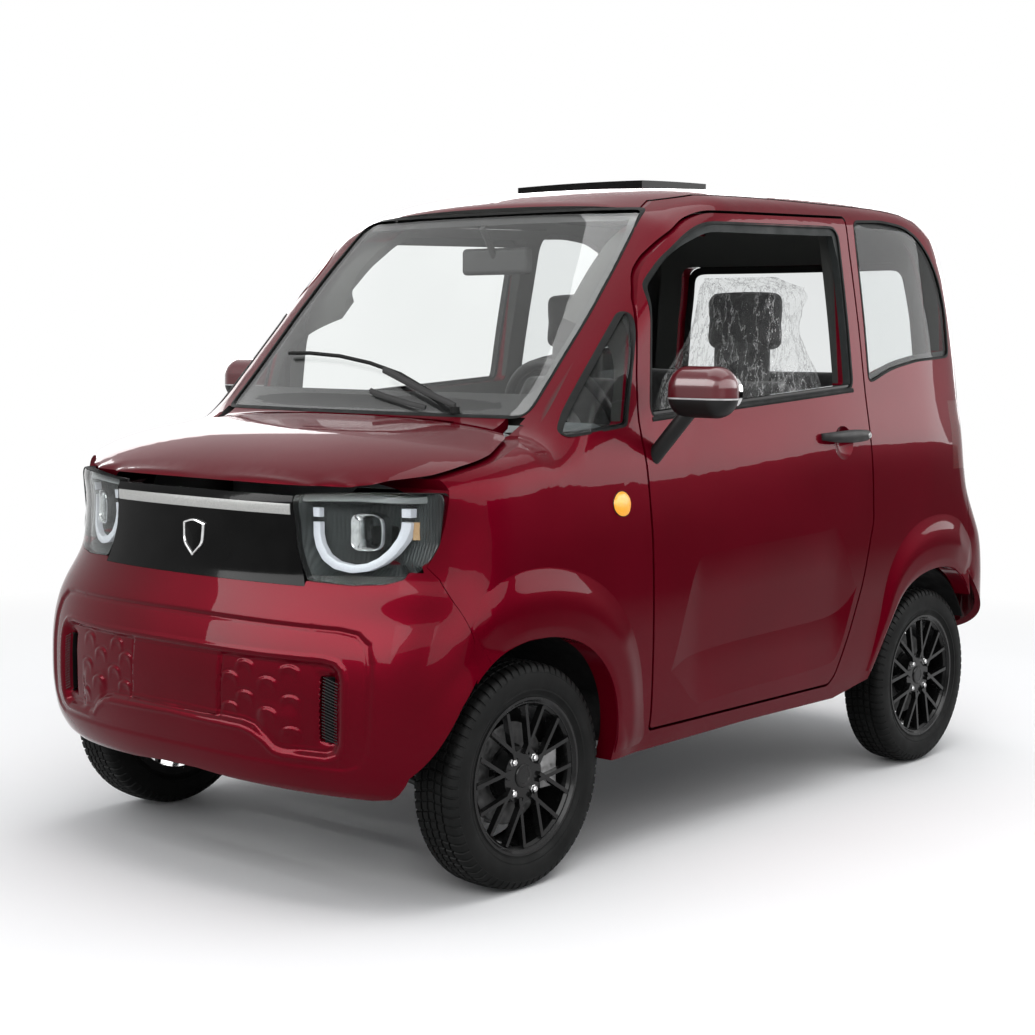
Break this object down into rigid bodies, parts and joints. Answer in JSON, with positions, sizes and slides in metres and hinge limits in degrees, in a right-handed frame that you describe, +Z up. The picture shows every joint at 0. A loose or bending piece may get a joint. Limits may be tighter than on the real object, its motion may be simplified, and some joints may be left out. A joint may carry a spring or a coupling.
{
  "type": "microcar",
  "caption": "Small electric city car with a tall cabin, swinging doors, lifting hood and tailgate, steered front wheels and rolling tyres.",
  "frame": {"origin": "on the ground, under the middle of the car's length and width", "axes": "+Z up, -Y towards the front of the car, +X towards the car's left side"},
  "size_m": [1.746, 2.739, 1.6695],
  "materials": {
    "red_paint": "gloss",
    "window_glass": "clear",
    "gloss_black": "gloss",
    "tail_lens": "gloss",
    "lamp_lens": "gloss",
    "black_plastic": "satin",
    "black_steel": "gloss",
    "grey_trim": "satin",
    "red_plastic": "gloss",
    "black_alloy": "gloss",
    "tyre": "matte",
    "seat_cloth": "woven"
  },
  "bodies": {
    "car_body": {"body_side_left": "red_paint", "body_side_right": "red_paint", "fixed_side_glass": "window_glass", "roof_panel": "red_paint", "rear_corner_posts": "red_paint", "sunroof_panel": "gloss_black", "windshield": "window_glass", "rear_bumper": "red_paint", "tail_lamps": "tail_lens", "headlamps": "lamp_lens", "grille_panel": "gloss_black", "front_bumper": "red_paint", "cowl_panel": "black_plastic", "chassis_frame": "black_steel", "battery_pack": "black_steel", "floor_pan": "black_steel", "wheel_liners": "black_plastic", "front_suspension": "black_steel", "rear_axle": "black_steel", "rear_suspension": "black_steel", "dashboard": "grey_trim", "front_seats": "seat_cloth", "rear_bench": "seat_cloth", "interior_mirror": "black_plastic", "cabin_trim": "grey_trim", "wiper": "black_plastic"},
    "knuckle_left": {"front_knuckle_left": "black_steel"},
    "knuckle_right": {"front_knuckle_right": "black_steel"},
    "wheel_front_left": {"rim_front_left": "black_alloy", "tyre_front_left": "tyre"},
    "wheel_front_right": {"rim_front_right": "black_alloy", "tyre_front_right": "tyre"},
    "wheel_rear_left": {"rim_rear_left": "black_alloy", "tyre_rear_left": "tyre"},
    "wheel_rear_right": {"rim_rear_right": "black_alloy", "tyre_rear_right": "tyre"},
    "door_left_body": {"door_left": "red_paint", "door_trim_left": "grey_trim", "door_glass_left": "window_glass", "door_handle_left": "black_plastic", "door_mirror_left": "red_plastic"},
    "door_right_body": {"door_right": "red_paint", "door_trim_right": "grey_trim", "door_glass_right": "window_glass", "door_handle_right": "black_plastic", "door_mirror_right": "red_plastic"},
    "hood_body": {"hood": "red_paint"},
    "tailgate_body": {"tailgate": "red_paint", "tailgate_glass": "window_glass"},
    "steering_wheel_body": {"steering_wheel": "black_plastic"}
  },
  "joints": [
    {"name": "steer_left", "type": "hinge", "parent": "car_body", "child": "knuckle_left", "pos_m": [0.545, -0.89, 0.256], "axis": [0, 0, 1], "range_deg": [-30, 30]},
    {"name": "steer_right", "type": "hinge", "parent": "car_body", "child": "knuckle_right", "pos_m": [-0.545, -0.89, 0.256], "axis": [0, 0, 1], "range_deg": [-30, 30]},
    {"name": "wheel_spin_front_left", "type": "hinge", "parent": "knuckle_left", "child": "wheel_front_left", "pos_m": [0.598, -0.89, 0.256], "axis": [1, 0, 0], "continuous": true},
    {"name": "wheel_spin_front_right", "type": "hinge", "parent": "knuckle_right", "child": "wheel_front_right", "pos_m": [-0.598, -0.89, 0.256], "axis": [1, 0, 0], "continuous": true},
    {"name": "wheel_spin_rear_left", "type": "hinge", "parent": "car_body", "child": "wheel_rear_left", "pos_m": [0.587, 0.91, 0.256], "axis": [1, 0, 0], "continuous": true},
    {"name": "wheel_spin_rear_right", "type": "hinge", "parent": "car_body", "child": "wheel_rear_right", "pos_m": [-0.587, 0.91, 0.256], "axis": [1, 0, 0], "continuous": true},
    {"name": "door_left_swing", "type": "hinge", "parent": "car_body", "child": "door_left_body", "pos_m": [0.672, -0.42, 0.56], "axis": [0, 0, -1], "range_deg": [0, 65]},
    {"name": "door_right_swing", "type": "hinge", "parent": "car_body", "child": "door_right_body", "pos_m": [-0.672, -0.42, 0.56], "axis": [0, 0, 1], "range_deg": [0, 65]},
    {"name": "hood_lift", "type": "hinge", "parent": "car_body", "child": "hood_body", "pos_m": [0, -0.834, 1.0146], "axis": [-1, 0, 0], "range_deg": [0, 55]},
    {"name": "tailgate_lift", "type": "hinge", "parent": "car_body", "child": "tailgate_body", "pos_m": [0, 1.02, 1.6002], "axis": [1, 0, 0], "range_deg": [0, 75]},
    {"name": "steering_wheel_turn", "type": "hinge", "parent": "car_body", "child": "steering_wheel_body", "pos_m": [0.3, -0.35, 1.01], "axis": [0, 0.9207, 0.3903], "range_deg": [-540, 540]}
  ],
  "couplings": [
    {"joint": "steer_right", "follows": "steer_left", "ratio": 1},
    {"joint": "steering_wheel_turn", "follows": "steer_left", "ratio": 18}
  ]
}
